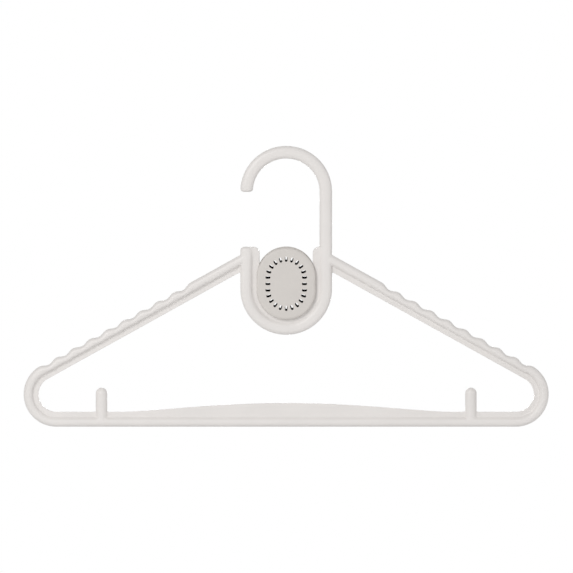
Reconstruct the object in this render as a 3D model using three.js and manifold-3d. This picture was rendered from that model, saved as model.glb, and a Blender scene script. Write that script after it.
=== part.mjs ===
// Aromatherapy clothes hanger. One moulded frame: a round rod makes the hook and runs down into a
// U-shaped cradle, and a rounded rib with a thin web closes the shoulder loop. An oval vented capsule
// hangs in the cradle by the groove round its waist and holds a scented tablet between two covers.
// Millimetres, +Z up, front towards -Y. The origin is the hook's inner crown, where a rail bears.

import * as THREE from 'three';
import { mergeVertices } from 'three/addons/utils/BufferGeometryUtils.js';
import Module from 'manifold-3d';

const wasm = await Module();
wasm.setup();

// Capsule: an oval of two half circles joined by short straight sides
const capsuleWidth = 47;
const capsuleHeight = 57.8;
const capsuleThickness = 15;
const capsuleEdgeRounding = 2.6;
const coverWall = 1.6;
const grooveDepth = 2.6;
const neckWall = 1.4;
const spigotWall = 1.2;
const spigotLength = 3.1; // from the front cover's inside face
const spigotClearance = 0.5;
const gripRibCount = 8;
const gripRibDiameter = 1.6;
const gripRibHeight = 0.2;

// Vents and the pocket inside their ring
const ventInset = 8.9; // capsule's edge to the middle of a vent
const ventLength = 3.9;
const ventWidth = 1.95;
const ventGapsPerEnd = 10;
const ventStraight = 10.3; // straight part of the ring of vents
const pocketToVent = 0.5;
const pocketWall = 1;
const pocketDepth = 2.8;
const tabletRounding = 1;

// Clearance wherever one piece slides on or rests in another
const slideClearance = 0.3;

// Cradle flange, the thin plate inside the U that enters the capsule's groove
const flangeThickness = 5;
const flangeReach = 5.35; // rod's inner face to the flange's edge
const flangeCornerRadius = 4.3;
const capsuleRise = 4.8; // capsule's middle above the middle of the U

// Rod of the hook, stem and cradle
const rodDiameter = 10.1;
const stemLength = 78.2; // middle of the hook down to the middle of the U
const freeArmHeight = 33.8; // flat top of the free upright above the middle of the U
const hookTipRounding = 2.3;
const freeArmRounding = 2.8;

// Shoulder loop: a rib outside, a web inside it
const loopWidth = 420;
const loopDrop = 84.45; // middle of the U down to the middle of the corners
const cornerRadius = 26.1;
const armRootDrop = 7.9; // free upright's top down to where an arm's middle meets the rod's axis
const ribWidth = 7.65;
const ribDepth = 9.8;
const webWidth = 4.25;
const webThickness = 3;
const webBuriedShare = 0.25; // of the rib's width

// Scallops in the arms' upper edge
const scallopCount = 9;
const scallopStart = -1.3; // from the corner's end, along the arm
const plainArmLength = 49.55; // from the last scallop to the rod's axis
const valleyDepth = 2.4;
const crestDepth = 0.4;

// Pegs on the bar
const pegInset = 36.15; // from a corner's middle
const pegDiameter = 9.2;
const pegHeight = 19.5; // above the web

// Arch in the bar's web
const archHeight = 7;
const archToPeg = 17.75; // from the end of the arch to a peg's middle
const archFalloff = 1.5;

// Overrun of a cut past the face that it goes through
const cutOverrun = 1;

// How finely curves are divided
const rodSides = 16;
const bendSteps = 26;
const endSteps = 4;
const ribSides = 12;
const cornerSteps = 16;
const scallopSteps = 6;
const archSteps = 18;
const ovalSteps = 20;
const ventEndSteps = 3;

// Sizes that follow from those above
const capsuleRadius = capsuleWidth / 2;
const capsuleHalfStraight = (capsuleHeight - capsuleWidth) / 2;
const faceY = capsuleThickness / 2;
const coverInsideY = faceY - coverWall;
const rimY = flangeThickness / 2 + slideClearance;
const neckRadius = capsuleRadius - grooveDepth;
const spigotRadius = neckRadius - neckWall - spigotClearance;
const ventRadius = capsuleRadius - ventInset;
const pocketRadius = ventRadius - ventLength / 2 - pocketToVent;
const tabletRadius = pocketRadius - pocketWall - slideClearance;

const rodRadius = rodDiameter / 2;
const flangeHalfOpening = neckRadius + slideClearance;
const bendRadius = flangeHalfOpening + flangeReach + rodRadius;
const hookZ = rodRadius - bendRadius;
const cradleZ = hookZ - stemLength;
const capsuleZ = cradleZ + capsuleRise;
const seatZ = capsuleZ - capsuleHalfStraight;
const cradleTopZ = cradleZ + freeArmHeight;

const cornerX = loopWidth / 2 - cornerRadius;
const cornerZ = cradleZ - loopDrop;
const creaseRadius = cornerRadius - ribWidth;
const ribMiddleRadius = cornerRadius - ribWidth / 2;
const webRadius = creaseRadius - webWidth;
const pegX = cornerX - pegInset;
const archHalfLength = pegX - archToPeg;

// An arm's middle line leaves the rod's axis and touches the corner's middle circle
const armRoot = new THREE.Vector2(cornerX - bendRadius, cradleTopZ - armRootDrop - cornerZ);
const armAngle = Math.acos(ribMiddleRadius / armRoot.length()) - Math.atan2(armRoot.x, armRoot.y);
const armLength = Math.sqrt(armRoot.lengthSq() - ribMiddleRadius ** 2);
const scallopPitch = (armLength - plainArmLength - scallopStart) / scallopCount;

// A closed solid through rings of points, with flat ends
function loft(rings) {
  const sides = rings[0].length;
  const last = (rings.length - 1) * sides;
  const index = [];
  for (let start = 0; start < last; start += sides) {
    for (let i = 0; i < sides; i++) {
      const a = start + i;
      const b = start + (i + 1) % sides;
      index.push(a, b, b + sides, a, b + sides, a + sides);
    }
  }
  for (let i = 1; i + 1 < sides; i++) {
    index.push(0, i + 1, i, last, last + i, last + i + 1);
  }
  const geometry = new THREE.BufferGeometry();
  const positions = rings.flat().flatMap((point) => point.toArray());
  geometry.setAttribute('position', new THREE.Float32BufferAttribute(positions, 3));
  geometry.setIndex(index);
  return geometry;
}

// A plate of a shape drawn in the hanger's plane, centred on that plane
function plate(shape, thickness, curveSegments = ovalSteps) {
  const options = { depth: thickness, bevelEnabled: false, curveSegments };
  const geometry = new THREE.ExtrudeGeometry(shape, options);
  return geometry.rotateX(Math.PI / 2).translate(0, thickness / 2, 0);
}

function toSolid(geometry) {
  geometry.deleteAttribute('normal');
  geometry.deleteAttribute('uv');
  const merged = mergeVertices(geometry);
  return new wasm.Manifold(new wasm.Mesh({
    numProp: 3,
    vertProperties: new Float32Array(merged.attributes.position.array),
    triVerts: new Uint32Array(merged.index.array),
  }));
}

function toGeometry(solid) {
  const mesh = solid.getMesh();
  const geometry = new THREE.BufferGeometry();
  geometry.setAttribute('position', new THREE.BufferAttribute(mesh.vertProperties, 3));
  geometry.setIndex(new THREE.BufferAttribute(mesh.triVerts, 1));
  return geometry;
}

const join = (solids) => solids.reduce((whole, solid) => whole.add(solid));
const cut = (solid, cutters) => cutters.reduce((rest, cutter) => rest.subtract(cutter), solid);

// A place on a path in the hanger's plane: its point, and the unit direction to the path's outer side
const place = (x, z, outX, outZ) => ({ foot: new THREE.Vector2(x, z), out: new THREE.Vector2(outX, outZ) });

// An oval section square to the path at a place, its middle moved outwards by shift
function section({ foot, out }, shift, halfWidth, halfDepth, sides) {
  return Array.from({ length: sides }, (_, i) => {
    const turn = 2 * Math.PI * i / sides;
    const point = foot.clone().addScaledVector(out, shift + halfWidth * Math.cos(turn));
    return new THREE.Vector3(point.x, halfDepth * Math.sin(turn), point.y);
  });
}

// A quarter round of an end: how far back from the end, and how much of the radius is lost there
function roundedEnd(rounding) {
  return Array.from({ length: endSteps + 1 }, (_, i) => {
    const turn = Math.PI / 2 * i / endSteps;
    return { back: rounding * (1 - Math.cos(turn)), loss: rounding * (1 - Math.sin(turn)) };
  });
}

// The rod's centreline, by distance from the top of the free upright to the tip of the hook
const bendLength = Math.PI * bendRadius;
const stemStart = freeArmHeight + bendLength;
const hookStart = stemStart + stemLength;
const rodLength = hookStart + bendLength;

function onBend(centreZ, turn) {
  const x = Math.cos(turn);
  const z = Math.sin(turn);
  return place(bendRadius * x, centreZ + bendRadius * z, x, z);
}

function rodPlace(distance) {
  if (distance < freeArmHeight) return place(-bendRadius, cradleTopZ - distance, -1, 0);
  if (distance < stemStart) return onBend(cradleZ, Math.PI + (distance - freeArmHeight) / bendRadius);
  if (distance < hookStart) return place(bendRadius, cradleZ + distance - stemStart, 1, 0);
  return onBend(hookZ, (distance - hookStart) / bendRadius);
}

function rod() {
  const rings = [];
  const addRing = (distance, radius) => {
    rings.push(section(rodPlace(distance), 0, radius, radius, rodSides));
  };
  roundedEnd(freeArmRounding).forEach(({ back, loss }) => addRing(back, rodRadius - loss));
  for (let i = 0; i <= bendSteps; i++) addRing(freeArmHeight + bendLength * i / bendSteps, rodRadius);
  for (let i = 0; i < bendSteps; i++) addRing(hookStart + bendLength * i / bendSteps, rodRadius);
  const tip = roundedEnd(hookTipRounding).reverse();
  tip.forEach(({ back, loss }) => addRing(rodLength - back, rodRadius - loss));
  return toSolid(loft(rings));
}

// The flange fills the inner side of the U and is buried in the rod as far as its centreline
function flange() {
  const cornerAt = flangeHalfOpening + flangeCornerRadius;
  const cornerTopZ = cradleTopZ - flangeCornerRadius;
  const shape = new THREE.Shape();
  shape.moveTo(-bendRadius, cradleTopZ);
  shape.lineTo(-bendRadius, cradleZ);
  shape.absarc(0, cradleZ, bendRadius, Math.PI, 2 * Math.PI, false);
  shape.lineTo(bendRadius, cradleTopZ);
  shape.absarc(cornerAt, cornerTopZ, flangeCornerRadius, Math.PI / 2, Math.PI, false);
  shape.absarc(0, seatZ, flangeHalfOpening, 0, -Math.PI, true);
  shape.absarc(-cornerAt, cornerTopZ, flangeCornerRadius, 0, Math.PI / 2, false);
  return toSolid(plate(shape, flangeThickness));
}

// Places round the loop. Each foot lies on the line through the corners' centres or on an arm's
// parallel through them, so one distance outwards from the feet is one line of the whole loop.
function rightHalfLoop(barSteps, armPlaces) {
  const places = [];
  const add = (x, z, outX, outZ, along) => places.push({ ...place(x, z, outX, outZ), along });
  for (let i = 0; i <= barSteps; i++) add(cornerX * i / barSteps, cornerZ, 0, -1, -Infinity);
  const startTurn = -Math.PI / 2;
  const endTurn = Math.PI / 2 - armAngle;
  for (let i = 1; i <= cornerSteps; i++) {
    const turn = THREE.MathUtils.lerp(startTurn, endTurn, i / cornerSteps);
    add(cornerX, cornerZ, Math.cos(turn), Math.sin(turn), cornerRadius * (turn - endTurn));
  }
  for (const along of armPlaces) {
    const x = cornerX - along * Math.cos(armAngle);
    const z = cornerZ + along * Math.sin(armAngle);
    add(x, z, Math.sin(armAngle), Math.cos(armAngle), along);
  }
  return places;
}

function wholeLoop(barSteps, armPlaces) {
  const right = rightHalfLoop(barSteps, armPlaces);
  const left = right.slice(1).reverse().map(({ foot, out, along }) => (
    { ...place(-foot.x, foot.y, -out.x, out.y), along }
  ));
  return [...left, ...right];
}

// How far the rib's outer edge lies below its full line, a row of waves with shallow crests between
function scallopDrop(along) {
  const waves = (along - scallopStart) / scallopPitch;
  if (waves <= 0 || waves >= scallopCount) return 0;
  const outermost = waves < 1 / 2 || waves > scallopCount - 1 / 2;
  const crest = outermost ? 0 : crestDepth;
  return THREE.MathUtils.lerp(crest, valleyDepth, (1 - Math.cos(2 * Math.PI * waves)) / 2);
}

function rib() {
  const armPlaces = [];
  for (let i = 0; i <= scallopCount * scallopSteps; i++) {
    armPlaces.push(scallopStart + scallopPitch * i / scallopSteps);
  }
  const straightPlaces = [...armPlaces.filter((along) => along > 0), armLength];
  const rings = wholeLoop(1, straightPlaces).map((spot) => {
    const width = ribWidth - scallopDrop(spot.along);
    return section(spot, creaseRadius + width / 2, width / 2, ribDepth / 2, ribSides);
  });
  return toSolid(loft(rings));
}

function archRise(x) {
  const reach = Math.min(1, Math.abs(x) / archHalfLength);
  return archHeight * (1 - reach ** 2) ** archFalloff;
}

// The web runs inside the rib, reaches a little way into it and rises in an arch on the bar
function web() {
  const loop = wholeLoop(archSteps, [armLength]);
  const buriedRadius = creaseRadius + webBuriedShare * ribWidth;
  const outer = loop.map(({ foot, out }) => foot.clone().addScaledVector(out, buriedRadius));
  const inner = loop.map(({ foot, out, along }) => {
    const rise = along === -Infinity ? archRise(foot.x) : 0;
    return foot.clone().addScaledVector(out, webRadius - rise);
  });
  return toSolid(plate(new THREE.Shape([...outer, ...inner.reverse()]), webThickness));
}

// A domed peg that stands on the middle of the rib and rises through the web
function peg(x) {
  const radius = pegDiameter / 2;
  const bottom = cornerZ - ribMiddleRadius;
  const dome = cornerZ - webRadius + pegHeight - radius;
  const profile = [new THREE.Vector2(0, bottom), new THREE.Vector2(radius, bottom)];
  for (let i = 0; i < endSteps; i++) {
    const turn = Math.PI / 2 * i / endSteps;
    profile.push(new THREE.Vector2(radius * Math.cos(turn), dome + radius * Math.sin(turn)));
  }
  profile.push(new THREE.Vector2(0, dome + radius));
  return toSolid(new THREE.LatheGeometry(profile, rodSides).rotateX(Math.PI / 2).translate(x, 0, 0));
}

function hangerFrame() {
  const pegs = [-1, 1].map((side) => peg(side * pegX));
  return toGeometry(join([rod(), flange(), rib(), web(), ...pegs]));
}

// The capsule's outline, or one parallel to it, at a depth
function ovalRing(radius, halfStraight, y) {
  const ring = [];
  for (const end of [1, -1]) {
    for (let i = 0; i <= ovalSteps; i++) {
      const turn = Math.PI * (i / ovalSteps + (end < 0 ? 1 : 0));
      const z = end * halfStraight + radius * Math.sin(turn);
      ring.push(new THREE.Vector3(radius * Math.cos(turn), y, z));
    }
  }
  return ring;
}

// A solid oval through levels of radius and depth, given from the back to the front
function ovalSolid(levels, halfStraight = capsuleHalfStraight) {
  return toSolid(loft(levels.map(({ radius, y }) => ovalRing(radius, halfStraight, y))));
}

// An oval wall from a back depth to a front depth
function ovalWall(outerRadius, wall, backY, frontY, halfStraight = capsuleHalfStraight) {
  const innerRadius = outerRadius - wall;
  const body = [{ radius: outerRadius, y: backY }, { radius: outerRadius, y: frontY }];
  const bore = [
    { radius: innerRadius, y: backY + cutOverrun },
    { radius: innerRadius, y: frontY - cutOverrun },
  ];
  return ovalSolid(body, halfStraight).subtract(ovalSolid(bore, halfStraight));
}

function ventCutters() {
  const half = (ventLength - ventWidth) / 2;
  const radius = ventWidth / 2;
  const shape = new THREE.Shape();
  shape.absarc(half, 0, radius, -Math.PI / 2, Math.PI / 2, false);
  shape.absarc(-half, 0, radius, Math.PI / 2, 3 * Math.PI / 2, false);
  const cutter = (x, z, turn) => toSolid(
    plate(shape, capsuleThickness + 2 * cutOverrun, ventEndSteps).rotateY(-turn).translate(x, 0, z),
  );
  const cutters = [];
  for (const end of [1, -1]) {
    for (let i = 0; i <= ventGapsPerEnd; i++) {
      const turn = end * Math.PI * i / ventGapsPerEnd;
      const z = end * ventStraight / 2 + ventRadius * Math.sin(turn);
      cutters.push(cutter(ventRadius * Math.cos(turn), z, turn));
    }
    cutters.push(cutter(end * ventRadius, 0, 0));
  }
  return cutters;
}

// A dish with its face at the back, of the capsule's outline, rounded round the face and vented
function dish() {
  const rounding = roundedEnd(capsuleEdgeRounding);
  const face = rounding.map(({ back, loss }) => ({ radius: capsuleRadius - loss, y: faceY - back }));
  const body = ovalSolid([...face, { radius: capsuleRadius, y: rimY }]);
  const hollow = ovalSolid([
    { radius: capsuleRadius - coverWall, y: coverInsideY },
    { radius: capsuleRadius - coverWall, y: rimY - cutOverrun },
  ]);
  const pocket = ovalWall(pocketRadius, pocketWall, faceY - coverWall / 2,
    coverInsideY - pocketDepth, ventStraight / 2);
  return cut(body, [hollow, ...ventCutters()]).add(pocket);
}

// The neck passes through the flange and stops short of the front cover's inside
function rearCover() {
  const neck = ovalWall(neckRadius, neckWall, faceY - coverWall / 2, slideClearance - coverInsideY);
  return toGeometry(dish().add(neck));
}

// Small upright ribs round the spigot grip the inside of the neck
function gripRibs() {
  const radius = gripRibDiameter / 2;
  const middleY = coverInsideY - spigotLength / 2;
  const reach = spigotRadius + gripRibHeight - radius;
  return Array.from({ length: gripRibCount }, (_, i) => {
    const turn = 2 * Math.PI * (i + 1 / 2) / gripRibCount;
    const end = Math.sign(Math.sin(turn));
    const rib = new THREE.CylinderGeometry(radius, radius, spigotLength, rodSides);
    const z = end * capsuleHalfStraight + reach * Math.sin(turn);
    return toSolid(rib.rotateY(Math.PI / 2 - turn).translate(reach * Math.cos(turn), middleY, z));
  });
}

// The front cover is the same dish turned round, with a spigot that plugs into the neck
function frontCover() {
  const spigotEndY = coverInsideY - spigotLength;
  const spigot = ovalWall(spigotRadius, spigotWall, faceY - coverWall / 2, spigotEndY);
  const bore = ovalSolid([
    { radius: spigotRadius - spigotWall, y: coverInsideY },
    { radius: spigotRadius - spigotWall, y: spigotEndY - cutOverrun },
  ]);
  const grips = join(gripRibs()).subtract(bore);
  return toGeometry(join([dish(), spigot, grips])).rotateZ(Math.PI);
}

function tablet() {
  const halfThickness = coverInsideY - slideClearance;
  const edge = roundedEnd(tabletRounding);
  const back = edge.map(({ back: y, loss }) => ({ radius: tabletRadius - loss, y: halfThickness - y }));
  const front = back.map(({ radius, y }) => ({ radius, y: -y })).reverse();
  return toGeometry(ovalSolid([...back, ...front], ventStraight / 2));
}

function piece(name, geometry, color, roughness) {
  const material = new THREE.MeshStandardMaterial({ color, roughness, metalness: 0 });
  const mesh = new THREE.Mesh(geometry, material);
  mesh.name = name;
  return mesh;
}

const capsule = new THREE.Group();
capsule.position.z = capsuleZ;
capsule.add(
  piece('capsule_rear_cover', rearCover(), '#d3ceca', 0.6),
  piece('fragrance_tablet', tablet(), '#efe9dc', 0.95),
  piece('capsule_front_cover', frontCover(), '#d3ceca', 0.6),
);

const group = new THREE.Group();
group.add(piece('hanger_frame', hangerFrame(), '#e4e0dd', 0.42), capsule);

export default group;
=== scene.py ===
import math

import bmesh
import bpy
from bpy.props import FloatProperty, FloatVectorProperty, IntProperty, PointerProperty
from mathutils import Matrix, Vector
from mathutils.kdtree import KDTree


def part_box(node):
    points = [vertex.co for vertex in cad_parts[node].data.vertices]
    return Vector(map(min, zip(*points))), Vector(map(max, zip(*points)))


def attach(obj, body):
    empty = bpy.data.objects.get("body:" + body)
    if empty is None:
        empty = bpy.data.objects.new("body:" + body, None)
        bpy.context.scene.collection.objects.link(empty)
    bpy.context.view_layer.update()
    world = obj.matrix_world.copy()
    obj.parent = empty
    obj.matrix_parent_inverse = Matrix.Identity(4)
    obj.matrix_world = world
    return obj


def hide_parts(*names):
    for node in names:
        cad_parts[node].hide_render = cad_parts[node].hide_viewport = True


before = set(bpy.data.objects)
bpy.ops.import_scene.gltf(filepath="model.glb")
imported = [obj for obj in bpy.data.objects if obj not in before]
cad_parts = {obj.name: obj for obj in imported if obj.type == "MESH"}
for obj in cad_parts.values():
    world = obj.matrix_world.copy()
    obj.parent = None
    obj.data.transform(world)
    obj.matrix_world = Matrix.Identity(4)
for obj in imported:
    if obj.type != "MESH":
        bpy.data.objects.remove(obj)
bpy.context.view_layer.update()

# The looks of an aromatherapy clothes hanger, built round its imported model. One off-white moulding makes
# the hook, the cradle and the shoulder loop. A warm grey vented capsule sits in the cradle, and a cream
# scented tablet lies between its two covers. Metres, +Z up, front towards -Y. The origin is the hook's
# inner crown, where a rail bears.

bl_info = {
    "name": "Aromatherapy hanger",
    "version": (1, 0, 0),
    "blender": (4, 5, 0),
    "location": "3D View > Sidebar > Hanger",
    "description": "Builds the visible pieces of an aromatherapy clothes hanger and its stage",
    "category": "Object",
}

MM = 0.001
QUARTER = math.pi / 2
RIGHT = Vector((1, 0, 0))
UP = Vector((0, 0, 1))
WHITE = (1, 1, 1, 1)
TINY = 1e-6
TOLERANCE = 0.01 * MM
OVERRUN = 1.0 * MM
SHARP_ANGLE = math.radians(50)

HANGER_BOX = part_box("hanger_frame")
COVER_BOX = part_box("capsule_front_cover")
REAR_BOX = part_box("capsule_rear_cover")
TABLET_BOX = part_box("fragrance_tablet")

# the photograph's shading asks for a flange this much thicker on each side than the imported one, and the
# covers' rims make room for it
FLANGE_EXTRA = 0.6 * MM


def linear(code):
    """An sRGB hex colour as the linear RGBA that Blender's sockets take."""
    parts = [int(code[i:i + 2], 16) / 255 for i in (1, 3, 5)]
    return tuple(c / 12.92 if c <= 0.04045 else ((c + 0.055) / 1.055) ** 2.4 for c in parts) + (1.0,)


def length(name, description, metres):
    """A property that holds a length."""
    return FloatProperty(name=name, description=description, default=metres, min=0, precision=5,
                         unit="LENGTH", subtype="DISTANCE")


def colour(name, description, code):
    """A property that holds a colour, from its sRGB hex code."""
    return FloatVectorProperty(name=name, description=description, default=linear(code), size=4,
                               min=0, max=1, subtype="COLOR")


class HangerSizes(bpy.types.PropertyGroup):
    """Sizes of the moulded hanger"""

    rod_diameter: length("Rod", "Diameter of the hook, stem and cradle rod", 10.1 * MM)
    bend_radius: length("Bend radius", "Middle of the hook and of the cradle to the rod's middle", 31.6 * MM)
    stem_length: length("Stem", "Middle of the hook down to the middle of the U", 78.2 * MM)
    free_arm_height: length("Free upright", "Middle of the U up to the free upright's flat top", 33.8 * MM)
    free_arm_rounding: length("Upright rounding", "Rounding of the free upright's top", 2.8 * MM)
    hook_tip_rounding: length("Tip rounding", "Rounding of the hook's tip", 2.3 * MM)
    flange_thickness: length("Flange", "Thickness of the cradle's flange", 5.0 * MM + 2 * FLANGE_EXTRA)
    flange_opening: length("Flange opening", "Half the width of the opening in the flange", 21.2 * MM)
    flange_seat: length("Flange seat", "Middle of the opening's round below the middle of the U", 0.6 * MM)
    flange_corner: length("Flange corner", "Rounding of the flange's upper corners", 5.0 * MM)
    loop_drop: length("Loop drop", "Middle of the U down to the middle of the corners", 84.45 * MM)
    corner_radius: length("Corner radius", "Outside radius of the shoulder corners", 26.1 * MM)
    arm_root_drop: length("Arm root", "Free upright's top to where an arm meets the rod's axis", 7.9 * MM)
    rib_width: length("Rib width", "Width of the rounded rib seen from the front", 7.65 * MM)
    rib_depth: length("Rib depth", "Depth of the rib from front to back", 9.8 * MM)
    rib_fullness: FloatProperty(name="Rib fullness", description="2 is round, more has a flatter face",
                                default=2.4, min=2, max=6)
    rod_fullness: FloatProperty(name="Rod fullness", description="2 is round, more has a flatter face",
                                default=2.8, min=2, max=6)
    web_width: length("Web width", "Width of the thin web inside the rib", 4.25 * MM)
    web_thickness: length("Web", "Thickness of the web", 3.0 * MM)
    scallop_start: length("Scallop overlap", "How far the first scallop reaches into the corner", 1.3 * MM)
    plain_arm: length("Plain arm", "Last scallop to the rod's axis", 49.55 * MM)
    valley_depth: length("Valley depth", "Depth of a scallop's valley", 2.4 * MM)
    crest_depth: length("Crest depth", "Depth of the crests between scallops", 0.4 * MM)
    scallops: IntProperty(name="Scallops", description="Scallops on each arm", default=9, min=1)
    arch_height: length("Arch", "Rise of the web in the middle of the bar", 7.0 * MM)
    arch_to_peg: length("Arch to peg", "End of the arch to a peg's middle", 17.75 * MM)
    peg_inset: length("Peg inset", "A corner's middle to a peg's middle", 36.15 * MM)
    peg_diameter: length("Peg", "Diameter of a peg", 9.2 * MM)
    peg_height: length("Peg height", "Height of a peg above the web", 19.5 * MM)
    edge_rounding: length("Edge rounding", "Rounding of the web's and the flange's edges", 0.7 * MM)
    web_fillet: length("Web fillet", "Fillet where the web meets its rib", 0.6 * MM)
    flange_fillet: length("Flange fillet", "Fillet where the flange meets its rod", 1.6 * MM)
    junction_fillet: length("Junction fillet", "How far the soft joint of arm and rod reaches", 1.1 * MM)
    peg_fillet: length("Peg fillet", "How far the soft joint at a peg's foot reaches", 0.32 * MM)
    parting_ridge: length("Parting line", "Height of the mould's parting line along the outside", 0.05 * MM)


class CapsuleSizes(bpy.types.PropertyGroup):
    """Sizes of the capsule's covers and the tablet"""

    width: length("Width", "Width of the capsule", COVER_BOX[1].x - COVER_BOX[0].x)
    height: length("Height", "Height of the capsule", COVER_BOX[1].z - COVER_BOX[0].z)
    face: length("Face", "Hanger's middle plane to a cover's face", -COVER_BOX[0].y)
    rim: length("Rim", "Hanger's middle plane to a cover's rim", FLANGE_EXTRA - COVER_BOX[1].y)
    edge_rounding: length("Edge rounding", "Rounding round a cover's face", 2.2 * MM)
    wall: length("Wall", "Thickness of a cover's wall", 1.6 * MM)
    neck_radius: length("Neck", "Radius of the rear cover's neck", 20.9 * MM)
    neck_wall: length("Neck wall", "Thickness of the neck", 1.4 * MM)
    spigot_radius: length("Spigot", "Radius of the front cover's spigot", 19.0 * MM)
    spigot_wall: length("Spigot wall", "Thickness of the spigot", 1.2 * MM)
    spigot_length: length("Spigot length", "How far the spigot stands out of the cover's inside", 3.1 * MM)
    grip_radius: length("Grip rib", "Radius of the ribs that grip the neck", 0.8 * MM)
    grip_height: length("Grip height", "How far a grip rib stands out of the spigot", 0.2 * MM)
    grips: IntProperty(name="Grip ribs", description="Ribs round the spigot", default=8, min=1)
    vent_radius: length("Vent radius", "Radius of the ring of vents at its ends", 14.6 * MM)
    vent_straight: length("Vent straight", "Straight part of the ring of vents", 10.3 * MM)
    vent_length: length("Vent length", "Length of a vent", 3.9 * MM)
    vent_width: length("Vent width", "Width of a vent", 1.95 * MM)
    front_vent_growth: length("Front vent growth", "How much larger the front cover's vents are", 0.2 * MM)
    rear_vent_loss: length("Rear vent loss", "How much smaller the rear cover's vents are", 0.7 * MM)
    front_vent_lift: length("Front vent lift", "How much higher the front cover's vents are", 0.15 * MM)
    vent_gaps: IntProperty(name="Vent gaps", description="Gaps between vents at one end", default=10, min=1)
    pocket_radius: length("Pocket", "Outside radius of the rim round the tablet", 12.15 * MM)
    pocket_wall: length("Pocket wall", "Thickness of the rim round the tablet", 1.0 * MM)
    pocket_depth: length("Pocket depth", "How far that rim stands up inside a cover", 2.8 * MM)
    small_edge: length("Small edges", "Rounding of vents, rims and ribs", 0.18 * MM)
    tablet_radius: length("Tablet", "Radius of the tablet's ends", TABLET_BOX[1].x)
    tablet_rounding: length("Tablet rounding", "Rounding of the tablet's edges", 1.0 * MM)


class HangerFinish(bpy.types.PropertyGroup):
    """Colours of the finishes, and of the painted shade inside the covers"""

    frame_colour: colour("Hanger", "Warm off-white of the moulded hanger", "#E4E0DD")
    capsule_colour: colour("Capsule", "Warm grey of the capsule's covers", "#D2CDC8")
    # near-black painted shade for the capsule's closed inside, where the vents look into the dark
    inside_shade_colour: colour("Inside", "Near-black inside the covers", "#1E1B1A")
    tablet_colour: colour("Tablet", "Cream of the scented tablet", "#EFE9DC")
    floor_colour: colour("Floor", "Pale floor", "#FAFAFA")


class StageSettings(bpy.types.PropertyGroup):
    """Camera and light"""

    elevation: FloatProperty(name="Elevation", description="How far the camera looks down",
                             default=math.radians(5.6), unit="ROTATION", subtype="ANGLE")
    distance: length("Distance", "Camera to the hanger's plane", 12.0)
    frame_width: length("Frame width", "Width of the view at the hanger's plane", 457.83 * MM)
    aim_x: length("Aim X", "Place looked at, to the right of the hook's middle", 0.24 * MM)
    aim_drop: length("Aim drop", "Place looked at, below the hook's inner crown", 102.66 * MM)
    world_light: FloatProperty(name="World light", description="Strength of the even light from all round",
                               default=0.455, min=0)
    floor_drop: length("Floor drop", "Floor below the hook's inner crown", 420 * MM)
    floor_radius: length("Floor radius", "Radius of the round floor", 580 * MM)
    fade_start: length("Fade start", "Middle of the floor to where it begins to fade into white", 250 * MM)
    fade_end: length("Fade end", "Middle of the floor to where it has turned white", 560 * MM)


def lerp(start, end, share):
    """The value at a share of the way from start to end."""
    return start + (end - start) * share


def shares(count):
    """Even shares from 0 to 1."""
    return [i / count for i in range(count + 1)]


def eased(count):
    """Shares that lie dense at the start, as along a quarter round."""
    return [1 - math.cos(QUARTER * share) for share in shares(count)]


def rounding_loss(depth, rounding):
    """What a rounded end has lost of its radius at a depth below the end."""
    left = max(rounding - depth, 0)
    return rounding - math.sqrt(rounding ** 2 - left ** 2)


def smooth_max(a, b, blend):
    """The larger of two values, with the corner where they cross rounded over blend."""
    overlap = max(blend - abs(a - b), 0)
    return max(a, b) + overlap ** 2 / (4 * blend)


def towards(turn):
    """The direction at an angle from +X towards +Z."""
    return Vector((math.cos(turn), 0, math.sin(turn)))


class Layout:
    """Places on the hanger that follow from its sizes."""

    def __init__(self, sizes):
        self.hook_z = sizes.rod_diameter / 2 - sizes.bend_radius
        self.cradle_z = self.hook_z - sizes.stem_length
        self.cradle_top = self.cradle_z + sizes.free_arm_height
        self.corner_x = HANGER_BOX[1].x - sizes.corner_radius
        self.corner_z = self.cradle_z - sizes.loop_drop
        self.crease = sizes.corner_radius - sizes.rib_width
        self.rib_middle = sizes.corner_radius - sizes.rib_width / 2
        root = Vector((self.corner_x - sizes.bend_radius,
                       self.cradle_top - sizes.arm_root_drop - self.corner_z))
        self.arm_angle = math.acos(self.rib_middle / root.length) - math.atan2(root.x, root.y)
        self.arm_length = math.sqrt(root.length_squared - self.rib_middle ** 2)
        self.peg_x = self.corner_x - sizes.peg_inset
        self.arch_half = self.peg_x - sizes.arch_to_peg
        self.scallop_pitch = (self.arm_length - sizes.plain_arm + sizes.scallop_start) / sizes.scallops


# an outline's points lie on the parting ridge, round the rib, over the fillet, along the web and round the
# web's edge
PARTING_STEP = 0.11 * MM
PARTING_STEPS = 2
ARC_POINTS = 16
FILLET_SHARES = (1.35, 1.2, 1.08)
FLAT_SHARES = (0.04, 0.1, 0.2, 0.38, 0.6, 0.8, 0.93)
EDGE_SHARES = (1.0, 0.86, 0.6, 0.3, 0.0)
THICKEST_WEB_SHARE = 0.9


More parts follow.
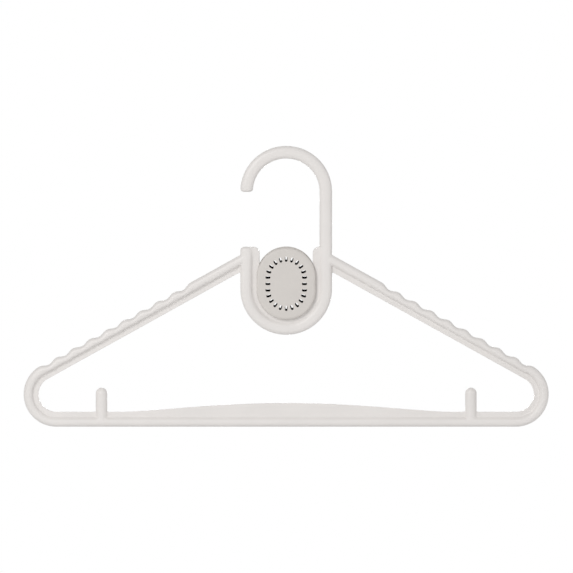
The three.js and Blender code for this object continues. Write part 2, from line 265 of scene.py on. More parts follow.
def outline(sizes, width, depth, reach, web, fullness, fillet):
    """(outwards, depth) points round a rib or rod, whose inner side carries a web.

    width and depth are the rib's half sizes and web is half the web's thickness. reach runs from the rib's
    middle to the web's edge, and a reach well inside the rib leaves the rib bare. A fullness of 2 gives a
    round section, and more gives a flatter face with fuller shoulders.
    """
    web = min(web, depth * THICKEST_WEB_SHARE)
    foot = width * (1 - (web / depth) ** fullness) ** (1 / fullness)
    meet = math.atan2(web, foot)
    tip = max(reach, foot + 2 * sizes.edge_rounding)
    arc_end, *fillet_turns = [meet * share for share in FILLET_SHARES]
    turns = [math.pi - PARTING_STEP * step / width for step in range(PARTING_STEPS + 1)]
    turns += [lerp(math.pi, arc_end, share) for share in shares(ARC_POINTS)[1:]]
    turns += fillet_turns
    turns += [math.atan2(web, lerp(foot, tip, share)) for share in FLAT_SHARES]
    turns += [math.atan2(web, tip) * share for share in EDGE_SHARES]
    half = []
    for i, turn in enumerate(turns):
        inward, deep = math.cos(turn), math.sin(turn)
        radius = (abs(inward / width) ** fullness + (deep / depth) ** fullness) ** (-1 / fullness)
        radius += sizes.parting_ridge * max(1 - i / PARTING_STEPS, 0)
        if inward > 0:
            inner = -smooth_max(-reach / inward, -web / max(deep, TINY), sizes.edge_rounding)
            radius = smooth_max(radius, inner, fillet)
        half.append((-radius * inward, radius * deep))
    return half + [(out, -y) for out, y in half[-2:0:-1]]


def ring(foot, out, shift, points):
    """Points of an outline set square to the path at foot."""
    return [foot + out * (shift + away) + Vector((0, y, 0)) for away, y in points]


def tube(bm, rings):
    """Rolls a grid through rings of points into a closed tube with flat ends."""
    sides = len(rings[0])
    grid = bmesh.ops.create_grid(bm, x_segments=sides, y_segments=len(rings) - 1, size=1)["verts"]
    seam = {}
    for row, points in enumerate(rings):
        start = row * (sides + 1)
        for i, point in enumerate([*points, points[0]]):
            grid[start + i].co = point
        seam[grid[start + sides]] = grid[start]
    bmesh.ops.weld_verts(bm, targetmap=seam)
    bmesh.ops.holes_fill(bm, edges=[edge for edge in bm.edges if edge.is_boundary])


def solid(name, build):
    """A new object whose mesh is what build makes, with its faces turned outwards."""
    bm = bmesh.new()
    build(bm)
    bmesh.ops.recalc_face_normals(bm, faces=bm.faces)
    mesh = bpy.data.meshes.new(name)
    bm.to_mesh(mesh)
    bm.free()
    made = bpy.data.objects.new(name, mesh)
    bpy.context.scene.collection.objects.link(made)
    return made


def merge(target, others, operation):
    """Joins others to target or cuts them from it, and removes them."""
    for other in others:
        modifier = target.modifiers.new("merge", "BOOLEAN")
        modifier.operation = operation
        modifier.solver = "MANIFOLD"
        modifier.object = other
        evaluated = target.evaluated_get(bpy.context.evaluated_depsgraph_get())
        merged = bpy.data.meshes.new_from_object(evaluated)
        target.modifiers.clear()
        old = target.data
        target.data = merged
        merged.name = old.name
        bpy.data.meshes.remove(old)
        mesh = other.data
        bpy.data.objects.remove(other)
        bpy.data.meshes.remove(mesh)
    if not target.data.polygons:
        raise RuntimeError(f"{target.name} came out empty")
    return target


def finish_piece(piece, material, body, node_name):
    """Gives a piece its material and shading, and sets it in the frame."""
    piece.data.materials.clear()
    piece.data.materials.append(material)
    piece.data.polygons.foreach_set("use_smooth", [True] * len(piece.data.polygons))
    piece.data.set_sharp_from_angle(angle=SHARP_ANGLE)
    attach(piece, body)
    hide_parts(node_name)


# Hanger

# sections lie dense near bends, ends and the arms' roots, and further apart on plain stretches
CORNER_SECTIONS = 14
CRADLE_SECTIONS = 60
LEDGE_SECTIONS = 6
TIP_SECTIONS = 8
JUNCTION_STEP = 1.0 * MM
JUNCTION_DEPTH = 24 * MM
PLAIN_STEP = 2.6 * MM
HOOK_STEP = 1.4 * MM
BAR_STEP = 2.4 * MM
CORNER_STEP = 1.6 * MM
ARM_STEP = 1.0 * MM

# a bare rod's section keeps a web of this share of the flange's thickness, which ends inside the rod
BARE_WEB_SHARE = 0.25

# how gently the arch of the bar's web runs out at its ends
ARCH_POWER = 1.5


def stretch(start, end, step):
    """Even distances from start to end, without the end."""
    count = max(1, round(abs(end - start) / step))
    return [lerp(start, end, i / count) for i in range(count)]


def flange_inner(sizes, turn):
    """Distance from the middle of the U to the flange's opening, in a direction below the horizontal."""
    across, down = math.cos(turn), -math.sin(turn)
    seat = sizes.flange_seat
    side = sizes.flange_opening / max(abs(across), TINY)
    if side * down < seat:
        return side
    return seat * down + math.sqrt(sizes.flange_opening ** 2 - (seat * across) ** 2)


def rod_rings(sizes, layout):
    """Sections of the rod and its flange, from the free upright's top to the hook's tip."""
    bend, rod = sizes.bend_radius, sizes.rod_diameter / 2 - sizes.parting_ridge
    plate = sizes.flange_thickness / 2
    bare = plate * BARE_WEB_SHARE
    rings = []

    def add(x, z, out, radius, reach, web):
        points = outline(sizes, radius, radius, reach, web, sizes.rod_fullness, sizes.flange_fillet)
        rings.append(ring(Vector((x, 0, z)), out, 0, points))

    def flange_at(depth):
        inner = sizes.flange_opening + rounding_loss(depth, sizes.flange_corner)
        return bend - inner, plate - rounding_loss(depth, sizes.edge_rounding)

    depths = [sizes.flange_corner * share for share in eased(CORNER_SECTIONS)]
    depths += stretch(sizes.flange_corner, JUNCTION_DEPTH, JUNCTION_STEP)[1:]
    depths += stretch(JUNCTION_DEPTH, sizes.free_arm_height, PLAIN_STEP)
    for depth in depths:
        radius = rod - rounding_loss(depth, sizes.free_arm_rounding)
        add(-bend, layout.cradle_top - depth, -RIGHT, radius, *flange_at(depth))
    for share in shares(CRADLE_SECTIONS)[:-1]:
        turn = math.pi * (1 + share)
        out = towards(turn)
        reach = bend - flange_inner(sizes, turn)
        add(bend * out.x, layout.cradle_z + bend * out.z, out, rod, reach, plate)
    for depth in [sizes.free_arm_height, *reversed(depths)]:
        add(bend, layout.cradle_top - depth, RIGHT, rod, *flange_at(depth))
    # above the cradle the flange's top runs out into the bare rod
    ledge_reach, ledge_web = flange_at(0)
    rise = 2 * sizes.flange_fillet
    for share in eased(LEDGE_SECTIONS)[1:]:
        drop = math.sqrt(1 - (1 - share) ** 2)
        reach = lerp(ledge_reach, rod - sizes.flange_fillet, drop)
        add(bend, layout.cradle_top + rise * share, RIGHT, rod, reach, lerp(ledge_web, bare, share))
    for z in stretch(layout.cradle_top + rise, layout.hook_z, PLAIN_STEP)[1:]:
        add(bend, z, RIGHT, rod, 0, bare)
    arc = math.pi * bend
    distances = stretch(0, arc - sizes.hook_tip_rounding, HOOK_STEP)
    distances += [arc - sizes.hook_tip_rounding * share for share in reversed(eased(TIP_SECTIONS))]
    for distance in distances:
        out = towards(distance / bend)
        radius = rod - rounding_loss(arc - distance, sizes.hook_tip_rounding)
        add(bend * out.x, layout.hook_z + bend * out.z, out, radius, 0, bare)
    return rings


def scallop_drop(sizes, layout, along):
    """How far the rib's outer edge lies below its full line: a row of waves with shallow crests between."""
    waves = (along + sizes.scallop_start) / layout.scallop_pitch
    if waves <= 0 or waves >= sizes.scallops:
        return 0
    crest = sizes.crest_depth if 0.5 <= waves <= sizes.scallops - 0.5 else 0
    return lerp(crest, sizes.valley_depth, (1 - math.cos(2 * math.pi * waves)) / 2)


def loop_rings(sizes, layout):
    """Sections of the shoulder loop, from inside the rod round by the bar and back to the rod."""
    web, ridge = sizes.web_thickness / 2, sizes.parting_ridge
    right = []

    def add(x, z, turn, drop=0, rise=0):
        width = (sizes.rib_width - drop) / 2
        points = outline(sizes, width - ridge / 2, sizes.rib_depth / 2, width + sizes.web_width + rise, web,
                         sizes.rib_fullness, sizes.web_fillet)
        right.append((Vector((x, 0, z)), towards(turn), layout.crease + width - ridge / 2, points))

    for x in stretch(0, layout.corner_x, BAR_STEP):
        reach = min(1, x / layout.arch_half)
        add(x, layout.corner_z, -QUARTER, rise=sizes.arch_height * (1 - reach ** 2) ** ARCH_POWER)
    arm_turn = QUARTER - layout.arm_angle
    for turn in stretch(-QUARTER, arm_turn, CORNER_STEP / sizes.corner_radius):
        along = sizes.corner_radius * (turn - arm_turn)
        add(layout.corner_x, layout.corner_z, turn, scallop_drop(sizes, layout, along))
    for along in [*stretch(0, layout.arm_length, ARM_STEP), layout.arm_length]:
        x = layout.corner_x - along * math.cos(layout.arm_angle)
        z = layout.corner_z + along * math.sin(layout.arm_angle)
        add(x, z, arm_turn, scallop_drop(sizes, layout, along))
    left = [(Vector((-foot.x, 0, foot.z)), Vector((-out.x, 0, out.z)), shift, points)
            for foot, out, shift, points in reversed(right[1:])]
    return [ring(*place) for place in left + right]


PEG_SEGMENTS = 40
PEG_RINGS = 24
DOME_RINGS = 10


def add_peg(bm, sizes, layout, x):
    """A domed peg from the middle of the rib up through the web, turned from its profile."""
    radius = sizes.peg_diameter / 2
    bottom = layout.corner_z - layout.rib_middle
    dome = layout.corner_z - layout.crease + sizes.web_width + sizes.peg_height - radius
    profile = [(0, bottom), (radius, bottom)]
    profile += [(radius, lerp(bottom, dome, share)) for share in shares(PEG_RINGS)[1:-1]]
    profile += [(radius * math.cos(QUARTER * share), dome + radius * math.sin(QUARTER * share))
                for share in shares(DOME_RINGS)]
    points = [bm.verts.new((x + away, 0, z)) for away, z in profile]
    edges = [bm.edges.new(pair) for pair in zip(points, points[1:])]
    bmesh.ops.spin(bm, geom=points + edges, cent=(x, 0, 0), axis=(0, 0, 1), angle=2 * math.pi,
                   steps=PEG_SEGMENTS, use_merge=True)
    bmesh.ops.remove_doubles(bm, verts=bm.verts, dist=TOLERANCE)


# after a join, corners this near each other are welded, edges that fold inwards by more than this many
# radians are its hollows, and the edges round them are halved where they are long
WELD_DISTANCE = 0.12 * MM
HOLLOW_ANGLE = -0.45
LONG_EDGE = 0.8 * MM
HALVING_MARGIN = 1.3
REACH_PER_PASS = 0.08 * MM


def soften_junctions(piece, reach):
    """Smooths the mesh near the sharp hollows that a join leaves, as a mould's small fillets do."""
    bm = bmesh.new()
    bm.from_mesh(piece.data)
    bmesh.ops.remove_doubles(bm, verts=bm.verts, dist=WELD_DISTANCE)
    bmesh.ops.triangulate(bm, faces=[face for face in bm.faces if len(face.verts) > 4])

    def near_hollows(limit):
        hollows = [edge for edge in bm.edges
                   if edge.is_manifold and edge.calc_face_angle_signed() < HOLLOW_ANGLE]
        corners = {vert for edge in hollows for vert in edge.verts}
        tree = KDTree(len(corners))
        for i, vert in enumerate(corners):
            tree.insert(vert.co, i)
        tree.balance()
        return [vert for vert in bm.verts if tree.find(vert.co)[2] < limit]

    zone = set(near_hollows(reach * HALVING_MARGIN))
    long_edges = [edge for edge in bm.edges if zone.issuperset(edge.verts) and edge.calc_length() > LONG_EDGE]
    bmesh.ops.subdivide_edges(bm, edges=long_edges, cuts=1)
    bmesh.ops.triangulate(bm, faces=[face for face in bm.faces if len(face.verts) > 4])
    zone = near_hollows(reach)
    for _ in range(round(reach / REACH_PER_PASS)):
        bmesh.ops.smooth_vert(bm, verts=zone, factor=0.5, use_axis_x=True, use_axis_y=True, use_axis_z=True)
    bmesh.ops.recalc_face_normals(bm, faces=bm.faces)
    bm.to_mesh(piece.data)
    bm.free()


# Materials

def node(tree, kind, inputs=None, **settings):
    """Adds a node with its settings, and sets or links its inputs."""
    made = tree.nodes.new(kind)
    for key, value in settings.items():
        setattr(made, key, value)
    for key, value in (inputs or {}).items():
        if isinstance(value, bpy.types.NodeSocket):
            tree.links.new(value, made.inputs[key])
        else:
            made.inputs[key].default_value = value
    return made


def new_material(name):
    """A material with its Principled shader and its Object coordinates."""
    material = bpy.data.materials.new(name)
    material.use_nodes = True
    tree = material.node_tree
    shader = tree.nodes["Principled BSDF"]
    place = node(tree, "ShaderNodeTexCoord").outputs["Object"]
    return material, tree, shader, place


def tinted(base, factor):
    """A linear colour made lighter or darker."""
    return tuple(min(1, part * factor) for part in base[:3]) + (1.0,)


def satin_polypropylene(finish):
    """Injection-moulded polypropylene with a satin face: soft broad highlights and a faint waxy depth."""
    material, tree, shader, place = new_material("satin_moulded_polypropylene")
    base = tuple(finish.frame_colour)
    # the melt flowed in clouds about 28 mm wide, which differ by a few shades at most
    flow = node(tree, "ShaderNodeTexNoise", {"Vector": place, "Scale": 1 / (28 * MM), "Detail": 3.0})
    cloud = node(tree, "ShaderNodeMapRange", {"Value": flow.outputs["Fac"], "From Min": 0.35,
                                              "From Max": 0.65})
    body = node(tree, "ShaderNodeMix", {0: cloud.outputs["Result"], 6: tinted(base, 0.985),
                                        7: tinted(base, 1.01)}, data_type="RGBA")
    tree.links.new(body.outputs[2], shader.inputs["Base Color"])
    # handling polishes some patches, so the gloss changes over 6 mm or so
    scuff = node(tree, "ShaderNodeTexNoise", {"Vector": place, "Scale": 1 / (6 * MM), "Detail": 4.0,
                                              "Roughness": 0.6})
    gloss = node(tree, "ShaderNodeMapRange", {"Value": scuff.outputs["Fac"], "From Min": 0.3, "From Max": 0.7,
                                              "To Min": 0.4, "To Max": 0.5})
    tree.links.new(gloss.outputs["Result"], shader.inputs["Roughness"])
    shader.inputs["IOR"].default_value = 1.49
    # satin grain of about 0.1 mm, drawn 0.5 mm so that it shows, over the long ripple of the cooling skin
    satin = node(tree, "ShaderNodeTexNoise", {"Vector": place, "Scale": 1 / (0.5 * MM)})
    grain = node(tree, "ShaderNodeBump", {"Height": satin.outputs["Fac"], "Strength": 0.1,
                                          "Distance": 0.03 * MM})
    skin = node(tree, "ShaderNodeTexNoise", {"Vector": place, "Scale": 1 / (7 * MM)})
    ripple = node(tree, "ShaderNodeBump", {"Height": skin.outputs["Fac"], "Strength": 0.2,
                                           "Distance": 0.08 * MM, "Normal": grain.outputs["Normal"]})
    tree.links.new(ripple.outputs["Normal"], shader.inputs["Normal"])
    return material


def textured_abs(finish):
    """ABS from a spark-textured mould: a dry, even, fine-grained face without highlights."""
    material, tree, shader, place = new_material("spark_textured_abs")
    base = tuple(finish.capsule_colour)
    melt = node(tree, "ShaderNodeTexNoise", {"Vector": place, "Scale": 1 / (14 * MM), "Detail": 3.0})
    cloud = node(tree, "ShaderNodeMapRange", {"Value": melt.outputs["Fac"], "From Min": 0.35,
                                              "From Max": 0.65})
    body = node(tree, "ShaderNodeMix", {0: cloud.outputs["Result"], 6: tinted(base, 0.985),
                                        7: tinted(base, 1.01)}, data_type="RGBA")
    # spark texture of about 0.15 mm, drawn 0.45 mm so that it shows: its pits get painted shade and are drier
    spark = node(tree, "ShaderNodeTexNoise", {"Vector": place, "Scale": 1 / (0.45 * MM)})
    pit_shade = node(tree, "ShaderNodeMapRange", {"Value": spark.outputs["Fac"], "From Min": 0.35, "From Max": 0.7,
                                            "To Max": 0.3})
    pit_shaded = node(tree, "ShaderNodeMix", {0: pit_shade.outputs["Result"], 6: body.outputs[2],
                                            7: tinted(base, 0.96)}, data_type="RGBA")
    tree.links.new(pit_shaded.outputs[2], shader.inputs["Base Color"])
    gloss = node(tree, "ShaderNodeMapRange", {"Value": spark.outputs["Fac"], "From Min": 0.3, "From Max": 0.7,
                                              "To Min": 0.56, "To Max": 0.7})
    tree.links.new(gloss.outputs["Result"], shader.inputs["Roughness"])
    shader.inputs["IOR"].default_value = 1.54
    grain = node(tree, "ShaderNodeBump", {"Height": spark.outputs["Fac"], "Strength": 0.35,
                                          "Distance": 0.05 * MM})
    tree.links.new(grain.outputs["Normal"], shader.inputs["Normal"])
    return material


def shade_inside_material(finish):
    """Near-black painted shade inside the covers, which stands in for the shade of the capsule's closed
    inside and makes each vent read as a dark hole.
    """
    material, tree, shader, place = new_material("painted_shade_inside")
    base = tuple(finish.inside_shade_colour)
    # the painted shade is lighter in patches of about 5 mm
    shade_patches = node(tree, "ShaderNodeTexNoise", {"Vector": place, "Scale": 1 / (5 * MM), "Detail": 3.0})
    lighter_patches = node(tree, "ShaderNodeMapRange", {"Value": shade_patches.outputs["Fac"], "From Min": 0.3, "From Max": 0.7})
    body = node(tree, "ShaderNodeMix", {0: lighter_patches.outputs["Result"], 6: base, 7: tinted(base, 1.5)},
                data_type="RGBA")
    tree.links.new(body.outputs[2], shader.inputs["Base Color"])
    shader.inputs["Roughness"].default_value = 0.8
    shader.inputs["IOR"].default_value = 1.47
    # a fine grain of about 0.1 mm, drawn 0.4 mm so that it shows
    fine_grain_noise = node(tree, "ShaderNodeTexNoise", {"Vector": place, "Scale": 1 / (0.4 * MM)})
    grain = node(tree, "ShaderNodeBump", {"Height": fine_grain_noise.outputs["Fac"], "Strength": 0.3,
                                          "Distance": 0.04 * MM})
    tree.links.new(grain.outputs["Normal"], shader.inputs["Normal"])
    return material


def pressed_plaster(finish):
    """Pressed gypsum soaked with scent: chalky, open-pored, with painted shade in its pores, and a little
    blotched by the oil.
    """
    material, tree, shader, place = new_material("pressed_scented_plaster")
    base = tuple(finish.tablet_colour)
    oil = node(tree, "ShaderNodeTexNoise", {"Vector": place, "Scale": 1 / (7 * MM), "Detail": 4.0})
    blotch = node(tree, "ShaderNodeMapRange", {"Value": oil.outputs["Fac"], "From Min": 0.4, "From Max": 0.7})
    body = node(tree, "ShaderNodeMix", {0: blotch.outputs["Result"], 6: tinted(base, 1.02),
                                        7: tinted(base, 0.9)}, data_type="RGBA")
    # the pores are sunk by the bump and darkened with painted shade
    cells = node(tree, "ShaderNodeTexVoronoi", {"Vector": place, "Scale": 1 / (0.9 * MM)})
    pore_and_shade = node(tree, "ShaderNodeMapRange", {"Value": cells.outputs["Distance"], "From Min": 0.08,
                                             "From Max": 0.3})
    pore_shaded = node(tree, "ShaderNodeMix", {0: pore_and_shade.outputs["Result"], 6: tinted(base, 0.62),
                                          7: body.outputs[2]}, data_type="RGBA")
    tree.links.new(pore_shaded.outputs[2], shader.inputs["Base Color"])
    shader.inputs["Roughness"].default_value = 0.93
    shader.inputs["IOR"].default_value = 1.52
    powder = node(tree, "ShaderNodeTexNoise", {"Vector": place, "Scale": 1 / (0.35 * MM), "Detail": 4.0})
    chalk = node(tree, "ShaderNodeBump", {"Height": powder.outputs["Fac"], "Strength": 0.5,
                                          "Distance": 0.06 * MM})
    pits = node(tree, "ShaderNodeBump", {"Height": pore_and_shade.outputs["Result"], "Strength": 0.8,
                                         "Distance": 0.15 * MM, "Normal": chalk.outputs["Normal"]})
    tree.links.new(pits.outputs["Normal"], shader.inputs["Normal"])
    return material


def matt_white_board(finish, stage):
    """Matt white board, whose rim fades into the white behind it."""
    material, tree, shader, place = new_material("matt_white_board")
    base = tuple(finish.floor_colour)
    speck = node(tree, "ShaderNodeTexNoise", {"Vector": place, "Scale": 1 / (3 * MM), "Detail": 3.0})
    body = node(tree, "ShaderNodeMix", {0: speck.outputs["Fac"], 6: tinted(base, 0.99), 7: base},
                data_type="RGBA")
    tree.links.new(body.outputs[2], shader.inputs["Base Color"])
    shader.inputs["Roughness"].default_value = 0.9
    distance = node(tree, "ShaderNodeVectorMath", {0: place, 1: (1, 1, 0)}, operation="MULTIPLY")
    away = node(tree, "ShaderNodeVectorMath", {0: distance.outputs[0]}, operation="LENGTH")
    fade = node(tree, "ShaderNodeMapRange", {"Value": away.outputs["Value"], "From Min": stage.fade_start,
                                             "From Max": stage.fade_end})
    white = node(tree, "ShaderNodeEmission", {"Color": WHITE, "Strength": 1.0})
    board = node(tree, "ShaderNodeMixShader", {0: fade.outputs["Result"], 1: shader.outputs[0],
                                               2: white.outputs[0]})
    # a camera below the board looks through it
    seen = node(tree, "ShaderNodeLightPath").outputs["Is Camera Ray"]
    under = node(tree, "ShaderNodeNewGeometry").outputs["Backfacing"]
    below = node(tree, "ShaderNodeMath", {0: seen, 1: under}, operation="MULTIPLY")
    clear = node(tree, "ShaderNodeBsdfTransparent")
    mixed = node(tree, "ShaderNodeMixShader", {0: below.outputs[0], 1: board.outputs[0],
                                               2: clear.outputs[0]})
    tree.links.new(mixed.outputs[0], tree.nodes["Material Output"].inputs["Surface"])
    return material


# Capsule

OVAL_SEGMENTS = 112
VENT_SEGMENTS = 20
GRIP_SEGMENTS = 24
COVER_EDGE_RINGS = 10
TABLET_EDGE_RINGS = 8


def cover_middle():
    """Height of the covers' middle."""
    return (COVER_BOX[0].z + COVER_BOX[1].z) / 2


def straight_half(sizes):
    """Half the straight part of the covers' oval."""
    return (sizes.height - sizes.width) / 2


def oval(middle, along, across, radius, half_straight, segments):
    """Points of an oval: two half circles joined by straight sides, which run in the direction along."""
    points = []
    for i in range(segments):
        turn = 2 * math.pi * (i + 0.5) / segments
        sideways, lengthways = radius * math.cos(turn), radius * math.sin(turn)
        lengthways += math.copysign(half_straight, lengthways)
        points.append(middle + across * sideways + along * lengthways)
    return points


def oval_solid(name, levels, half_straight):
    """A closed upright oval through (radius, depth) levels."""
    rings = [oval(Vector((0, y, cover_middle())), UP, RIGHT, radius, half_straight, OVAL_SEGMENTS)
             for radius, y in levels]
    return solid(name, lambda bm: tube(bm, rings))


def rounded_edge(radius, face, rounding, rings):
    """(radius, depth) levels of an oval's rounded edge, from its face to its side."""
    inwards = math.copysign(rounding, face)
    return [(radius - rounding * (1 - math.sin(QUARTER * share)),
             face - inwards * (1 - math.cos(QUARTER * share))) for share in shares(rings)]


def oval_wall(name, radius, wall, start, end, half_straight, extras=()):
    """An oval wall between two depths, and extras that its bore cuts as well."""
    over = math.copysign(OVERRUN, end - start)
    wall_solid = oval_solid(name, [(radius, start), (radius, end)], half_straight)
    merge(wall_solid, extras, "UNION")
    bore = oval_solid("bore", [(radius - wall, start - over), (radius - wall, end + over)], half_straight)
    return merge(wall_solid, [bore], "DIFFERENCE")


def add_vent(bm, sizes, growth, x, z, turn):
    """A cutter for one vent: a slot with round ends, which points away from the ring's middle."""
    half, radius = (sizes.vent_length - sizes.vent_width) / 2, (sizes.vent_width + growth) / 2
    tube(bm, [oval(Vector((x, y, z)), towards(turn), towards(turn + QUARTER), radius, half, VENT_SEGMENTS)
              for y in (-sizes.face - OVERRUN, sizes.face + OVERRUN)])


def vents(sizes, side):
    """Cutters for one cover's ring of vents. side is -1 in front and 1 behind."""
    growth, middle = sizes.front_vent_growth, cover_middle() + sizes.front_vent_lift
    if side > 0:
        growth, middle = -sizes.rear_vent_loss, cover_middle()

    def build(bm):
        for end in (1, -1):
            for i in range(sizes.vent_gaps + 1):
                turn = end * math.pi * i / sizes.vent_gaps
                add_vent(bm, sizes, growth, sizes.vent_radius * math.cos(turn),
                         middle + end * sizes.vent_straight / 2 + sizes.vent_radius * math.sin(turn), turn)
            add_vent(bm, sizes, growth, end * sizes.vent_radius, middle, 0)
    return solid("vents", build)


def dish(name, sizes, side):
    """A cover's shell with its vents and the rim round the tablet. side is -1 in front and 1 behind."""
    radius, half = sizes.width / 2, straight_half(sizes)
    face, inside = side * sizes.face, side * (sizes.face - sizes.wall)
    levels = rounded_edge(radius, face, sizes.edge_rounding, COVER_EDGE_RINGS)
    shell = oval_solid(name, [*levels, (radius, side * sizes.rim)], half)
    bore = radius - sizes.wall
    hollow = oval_solid("hollow", [(bore, inside), (bore, side * (sizes.rim - OVERRUN))], half)
    merge(shell, [hollow, vents(sizes, side)], "DIFFERENCE")
    pocket = oval_wall("pocket", sizes.pocket_radius, sizes.pocket_wall, face - side * sizes.wall / 2,
                       inside - side * sizes.pocket_depth, sizes.vent_straight / 2)
    return merge(shell, [pocket], "UNION")


def grip_ribs(sizes, half):
    """Small upright ribs round the spigot, which grip the inside of the neck."""
    reach = sizes.spigot_radius + sizes.grip_height - sizes.grip_radius

    def build(bm):
        for i in range(sizes.grips):
            turn = 2 * math.pi * (i + 0.5) / sizes.grips
            z = cover_middle() + math.copysign(half, math.sin(turn)) + reach * math.sin(turn)
            y = sizes.wall + sizes.spigot_length / 2 - sizes.face
            place = Matrix.Translation((reach * math.cos(turn), y, z))
            bmesh.ops.create_cone(bm, cap_ends=True, segments=GRIP_SEGMENTS, radius1=sizes.grip_radius,
                                  radius2=sizes.grip_radius, depth=sizes.spigot_length,
                                  matrix=place @ Matrix.Rotation(QUARTER, 4, "X"))
    return solid("grips", build)


def rear_cover(sizes):
    """The rear cover with the neck that passes through the flange."""
    cover = dish("rear_cover", sizes, 1)
    neck = oval_wall("neck", sizes.neck_radius, sizes.neck_wall, sizes.face - sizes.wall / 2,
                     REAR_BOX[0].y, straight_half(sizes))
    return merge(cover, [neck], "UNION")


def front_cover(sizes):
    """The front cover with the spigot that fits in the neck."""
    cover, half = dish("front_cover", sizes, -1), straight_half(sizes)
    spigot = oval_wall("spigot", sizes.spigot_radius, sizes.spigot_wall, sizes.wall / 2 - sizes.face,
                       sizes.wall - sizes.face + sizes.spigot_length, half, [grip_ribs(sizes, half)])
    return merge(cover, [spigot], "UNION")


def paint_shade_inside(piece, sizes, radius, shade_material):
    """Paints near-black shade on what lies behind a cover's face, the vents' walls too, out to an oval of
    this radius.
    """
    piece.data.materials.append(shade_material)
    half, middle = straight_half(sizes), cover_middle()

    def inside(place):
        return math.hypot(place.x, max(abs(place.z - middle) - half, 0)) < radius + TOLERANCE

    for face in piece.data.polygons:
        behind = abs(face.center.y) < sizes.face - TOLERANCE
        if behind and all(inside(piece.data.vertices[i].co) for i in face.vertices):
            face.material_index = 1


BEVEL_SEGMENTS = 2
BEVEL_ANGLE = math.radians(40)


def soften_edges(piece, width):
    """Rounds a cover's sharp edges."""
    modifier = piece.modifiers.new("small edges", "BEVEL")
    modifier.width = width
    modifier.segments = BEVEL_SEGMENTS
    modifier.limit_method = "ANGLE"
    modifier.angle_limit = BEVEL_ANGLE
    modifier.harden_normals = True


# Operators

class HANGER_OT_frame(bpy.types.Operator):
    """Adds the moulded hanger: hook, stem, cradle with its flange, shoulder loop and pegs"""

    bl_idname = "hanger.frame"
    bl_label = "Hanger"

    def execute(self, context):
        sizes = context.scene.hanger_sizes
        layout = Layout(sizes)
        body = solid("hanger_moulding", lambda bm: tube(bm, rod_rings(sizes, layout)))
        loop = solid("loop", lambda bm: tube(bm, loop_rings(sizes, layout)))
        pegs = [solid("peg", lambda bm, x=x: add_peg(bm, sizes, layout, x))
                for x in (-layout.peg_x, layout.peg_x)]
        merge(body, [loop], "UNION")
        soften_junctions(body, sizes.junction_fillet)
        merge(body, pegs, "UNION")
        soften_junctions(body, sizes.peg_fillet)
        material = satin_polypropylene(context.scene.hanger_finish)
        finish_piece(body, material, "hanger", "hanger_frame")
        return {"FINISHED"}


class HANGER_OT_covers(bpy.types.Operator):
    """Adds the capsule's two vented covers: the rear one with its neck, the front one with its spigot"""

    bl_idname = "hanger.covers"
    bl_label = "Capsule covers"

    def execute(self, context):
        sizes = context.scene.capsule_sizes
        rear, rear_bore = rear_cover(sizes), sizes.neck_radius - sizes.neck_wall
        front, front_bore = front_cover(sizes), sizes.spigot_radius - sizes.spigot_wall
        material = textured_abs(context.scene.hanger_finish)
        # the insides of the covers get near-black painted shade
        shade_material = shade_inside_material(context.scene.hanger_finish)
        for piece, bore, body, node_name in ((rear, rear_bore, "capsule", "capsule_rear_cover"),
                                             (front, front_bore, "front_cover", "capsule_front_cover")):
            soften_edges(piece, sizes.small_edge)
            finish_piece(piece, material, body, node_name)
            paint_shade_inside(piece, sizes, bore, shade_material)
        return {"FINISHED"}


class HANGER_OT_tablet(bpy.types.Operator):
    """Adds the scented tablet that lies between the covers"""

    bl_idname = "hanger.tablet"
    bl_label = "Scented tablet"

    def execute(self, context):
        sizes = context.scene.capsule_sizes
        back = rounded_edge(sizes.tablet_radius, TABLET_BOX[1].y, sizes.tablet_rounding, TABLET_EDGE_RINGS)
        levels = back + [(radius, -y) for radius, y in reversed(back)]
        tablet = oval_solid("scented_tablet", levels, sizes.vent_straight / 2)
        finish_piece(tablet, pressed_plaster(context.scene.hanger_finish), "tablet",
                     "fragrance_tablet")
        return {"FINISHED"}


# Stage

# each lamp's name, place, width in metres and watts: the key and the spot shine from the left, two fills
# keep the underside and the right side readable, and one lights the back
LAMPS = (
    ("key_softbox", Vector((-1.2, -1.9, 1.2)), 0.9, 19.2),
    ("spot", Vector((-0.98, -2.24, 0.54)), 0.25, 10.2),
    ("low_fill", Vector((0, -2.2, -0.9)), 1.0, 3.8),
    ("right_fill", Vector((2.4, -0.4, 0.3)), 1.0, 9.2),
    ("back_fill", Vector((0, 2.2, -0.32)), 0.7, 15.0),
)
FAR_CLIP = 100.0
FLOOR_SEGMENTS = 96


def aim(made, target):
    """Turns a lamp or camera to look at target."""
    made.rotation_mode = "QUATERNION"
    made.rotation_quaternion = (target - made.location).to_track_quat("-Z", "Y")


def add_lamp(name, place, width, watts, target):
    """A round white softbox, which the camera does not see."""
    lamp = bpy.data.lights.new(name, "AREA")
    lamp.shape = "DISK"
    lamp.size = width
    lamp.energy = watts
    made = bpy.data.objects.new(name, lamp)
    made.location = place
    made.visible_camera = False
    aim(made, target)
    bpy.context.scene.collection.objects.link(made)


def add_camera(stage, target):
    """A long lens far away, whose view has hardly any perspective, like the photograph's."""
    lens = bpy.data.cameras.new("camera")
    lens.lens = lens.sensor_width * stage.distance / stage.frame_width
    lens.clip_end = FAR_CLIP
    camera = bpy.data.objects.new("camera", lens)
    back = Vector((0, -math.cos(stage.elevation), math.sin(stage.elevation)))
    camera.location = target + back * stage.distance
    aim(camera, target)
    bpy.context.scene.collection.objects.link(camera)
    bpy.context.scene.camera = camera


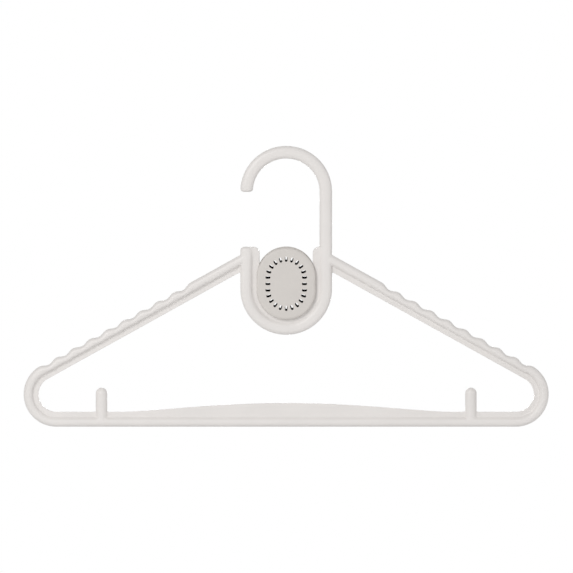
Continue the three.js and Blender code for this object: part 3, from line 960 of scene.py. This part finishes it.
def studio_world(strength):
    """Even light from all round, which the camera, reflections and clear plastic see as plain white."""
    world = bpy.data.worlds.new("studio")
    world.use_nodes = True
    tree = world.node_tree
    lit = tree.nodes["Background"]
    lit.inputs["Color"].default_value = WHITE
    lit.inputs["Strength"].default_value = strength
    path = node(tree, "ShaderNodeLightPath")
    seen = path.outputs["Is Camera Ray"]
    for other in ("Is Glossy Ray", "Is Transmission Ray"):
        seen = node(tree, "ShaderNodeMath", {0: seen, 1: path.outputs[other]}, operation="MAXIMUM").outputs[0]
    white = node(tree, "ShaderNodeBackground", {"Color": WHITE, "Strength": 1.0})
    mixed = node(tree, "ShaderNodeMixShader", {0: seen, 1: lit.outputs[0], 2: white.outputs[0]})
    tree.links.new(mixed.outputs[0], tree.nodes["World Output"].inputs["Surface"])
    return world


class HANGER_OT_stage(bpy.types.Operator):
    """Adds the floor, the soft studio light and the camera"""

    bl_idname = "hanger.stage"
    bl_label = "Stage"

    def execute(self, context):
        scene, stage = context.scene, context.scene.hanger_stage
        scene.view_settings.view_transform = "Standard"
        target = Vector((stage.aim_x, 0, -stage.aim_drop))
        add_camera(stage, target)
        for lamp in LAMPS:
            add_lamp(*lamp, target)
        scene.world = studio_world(stage.world_light)

        def build(bm):
            bmesh.ops.create_circle(bm, cap_ends=True, segments=FLOOR_SEGMENTS, radius=stage.floor_radius,
                                    matrix=Matrix.Translation((0, 0, -stage.floor_drop)))
        floor = solid("floor", build)
        floor.data.materials.append(matt_white_board(scene.hanger_finish, stage))
        return {"FINISHED"}


class HANGER_PT_pieces(bpy.types.Panel):
    """Lists the hanger's pieces and sizes"""

    bl_idname = "HANGER_PT_pieces"
    bl_label = "Aromatherapy hanger"
    bl_space_type = "VIEW_3D"
    bl_region_type = "UI"
    bl_category = "Hanger"

    def draw(self, context):
        column = self.layout.column()
        for operator in OPERATORS:
            column.operator(operator.bl_idname)
        for group in GROUPS:
            settings = getattr(context.scene, group)
            column.label(text=group.replace("_", " ").capitalize())
            for name in settings.bl_rna.properties.keys():
                if name not in ("rna_type", "name"):
                    column.prop(settings, name)


GROUPS = {
    "hanger_sizes": HangerSizes,
    "capsule_sizes": CapsuleSizes,
    "hanger_finish": HangerFinish,
    "hanger_stage": StageSettings,
}
OPERATORS = (HANGER_OT_stage, HANGER_OT_frame, HANGER_OT_covers, HANGER_OT_tablet)


def register():
    for group in GROUPS.values():
        bpy.utils.register_class(group)
    for name, group in GROUPS.items():
        setattr(bpy.types.Scene, name, PointerProperty(type=group))
    for item in (*OPERATORS, HANGER_PT_pieces):
        bpy.utils.register_class(item)


def unregister():
    for item in (HANGER_PT_pieces, *reversed(OPERATORS)):
        bpy.utils.unregister_class(item)
    for name in reversed(GROUPS):
        delattr(bpy.types.Scene, name)
        bpy.utils.unregister_class(GROUPS[name])


def main():
    register()
    bpy.ops.hanger.stage()
    bpy.ops.hanger.frame()
    bpy.ops.hanger.covers()
    bpy.ops.hanger.tablet()


if __name__ == "__main__":
    main()
